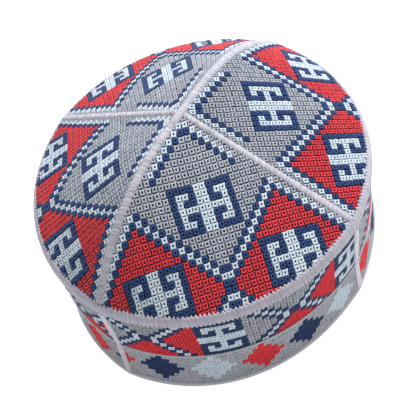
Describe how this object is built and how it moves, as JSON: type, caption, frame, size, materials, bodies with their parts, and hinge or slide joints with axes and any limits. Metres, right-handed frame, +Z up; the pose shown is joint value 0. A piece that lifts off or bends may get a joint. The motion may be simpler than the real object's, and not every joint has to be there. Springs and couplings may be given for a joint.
{
  "type": "kufi cap",
  "caption": "Stiff brimless embroidered cap with a ridged crown of wedge panels, corded seams, a rim band, an upright side wall and an open underside for the head.",
  "frame": {"origin": "middle of the bottom edge, on the surface that the cap stands on", "axes": "+Z up, -Y towards the front end of the crown's ridge, +X towards one end of the cross seam"},
  "size_m": [0.1888, 0.1982, 0.1113],
  "materials": {
    "crown_cloth": "closely stitched grey cotton with navy, white and red ornament",
    "side_cloth": "closely stitched grey cotton with navy, white and red ornament",
    "hem_cloth": "finely stitched grey cotton with stepped diamonds",
    "seam_satin": "pale grey satin stitch",
    "band_satin": "pale grey satin stitch",
    "piping_satin": "thin wrapped cord",
    "binding": "plain woven binding"
  },
  "bodies": {
    "root": {"crown_panel_front_right": "crown_cloth", "crown_panel_back_right": "crown_cloth", "crown_panel_back_left": "crown_cloth", "crown_panel_front_left": "crown_cloth", "ridge_seam_cord": "seam_satin", "cross_seam_cord_right": "seam_satin", "cross_seam_cord_left": "seam_satin", "rim_band": "band_satin", "side_panel_front_right": "side_cloth", "side_panel_back_right": "side_cloth", "side_panel_back_left": "side_cloth", "side_panel_front_left": "side_cloth", "side_seam_cord_front": "seam_satin", "side_seam_cord_right": "seam_satin", "side_seam_cord_back": "seam_satin", "side_seam_cord_left": "seam_satin", "piping_front_right": "piping_satin", "piping_back_right": "piping_satin", "piping_back_left": "piping_satin", "piping_front_left": "piping_satin", "hem_panel_front_right": "hem_cloth", "hem_panel_back_right": "hem_cloth", "hem_panel_back_left": "hem_cloth", "hem_panel_front_left": "hem_cloth", "bottom_binding": "binding"}
  },
  "joints": []
}
